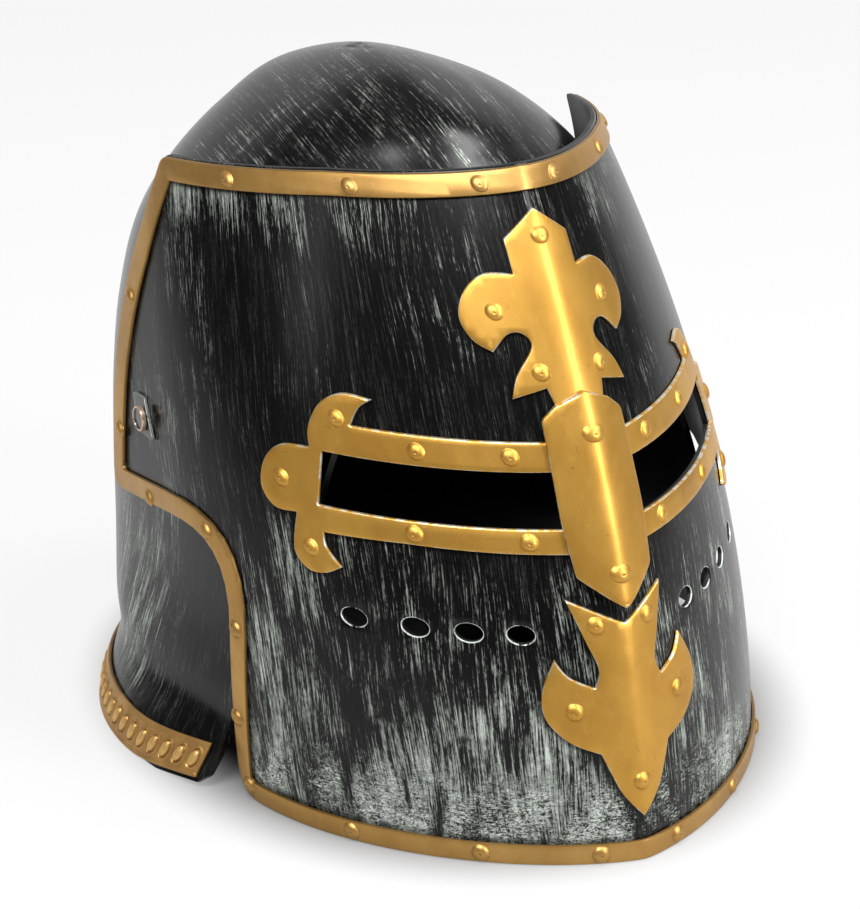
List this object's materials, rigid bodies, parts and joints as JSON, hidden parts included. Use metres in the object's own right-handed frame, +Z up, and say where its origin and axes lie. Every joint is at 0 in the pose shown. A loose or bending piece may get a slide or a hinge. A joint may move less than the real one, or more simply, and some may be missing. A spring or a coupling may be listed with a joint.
{
  "type": "knight helmet",
  "caption": "Full-head knight's great helm: an egg-shaped skull with a flared neck guard and a wrap-round slotted visor that lifts on two side pivots.",
  "frame": {"origin": "middle of the helm's footprint, on the ground it stands on", "axes": "+Z up, -Y the way the face looks, +X the wearer's left"},
  "size_m": [0.2658, 0.3234, 0.25],
  "materials": {
    "skull": "semi-gloss black with dry-brushed silver streaks",
    "visor": "semi-gloss black with dry-brushed silver streaks",
    "gold": "satin gold metallic paint, worn bright on the edges",
    "pewter": "dull pewter grey",
    "fibre": "matte black",
    "foam": "black woven cloth over foam"
  },
  "bodies": {
    "skull": {"skull_shell": "skull", "neck_band": "gold", "pivot_pin_left": "pewter", "pivot_washer_left": "fibre", "pivot_clip_left": "pewter", "pivot_pin_right": "pewter", "pivot_washer_right": "fibre", "pivot_clip_right": "pewter", "rear_pad": "foam", "side_pad_left": "foam", "side_pad_right": "foam", "brow_pad": "foam", "crown_pad": "foam"},
    "visor": {"visor_shell": "visor", "visor_border": "gold", "eye_frame_left": "gold", "eye_frame_right": "gold", "upper_fleur_plate": "gold", "lower_fleur_plate": "gold", "nose_plate": "gold", "eye_frame_rivet_left_1": "gold", "eye_frame_rivet_right_1": "gold", "eye_frame_rivet_left_2": "gold", "eye_frame_rivet_right_2": "gold", "eye_frame_rivet_left_3": "gold", "eye_frame_rivet_right_3": "gold", "eye_frame_rivet_left_4": "gold", "eye_frame_rivet_right_4": "gold", "eye_frame_rivet_left_5": "gold", "eye_frame_rivet_right_5": "gold", "eye_frame_rivet_left_6": "gold", "eye_frame_rivet_right_6": "gold", "eye_frame_rivet_left_7": "gold", "eye_frame_rivet_right_7": "gold", "upper_fleur_rivet_left_1": "gold", "upper_fleur_rivet_right_1": "gold", "upper_fleur_rivet_left_2": "gold", "upper_fleur_rivet_right_2": "gold", "lower_fleur_rivet_left_1": "gold", "lower_fleur_rivet_right_1": "gold", "lower_fleur_rivet_left_2": "gold", "lower_fleur_rivet_right_2": "gold", "upper_fleur_rivet_top": "gold", "lower_fleur_rivet_bottom": "gold", "nose_rivet_top": "gold", "nose_rivet_bottom": "gold", "pivot_plate_left": "gold", "pivot_plate_right": "gold"}
  },
  "joints": [
    {"name": "visor_pivot", "type": "hinge", "parent": "skull", "child": "visor", "pos_m": [0, 0.03324, 0.1245], "axis": [-1, 0, 0], "range_deg": [0, 28]}
  ]
}
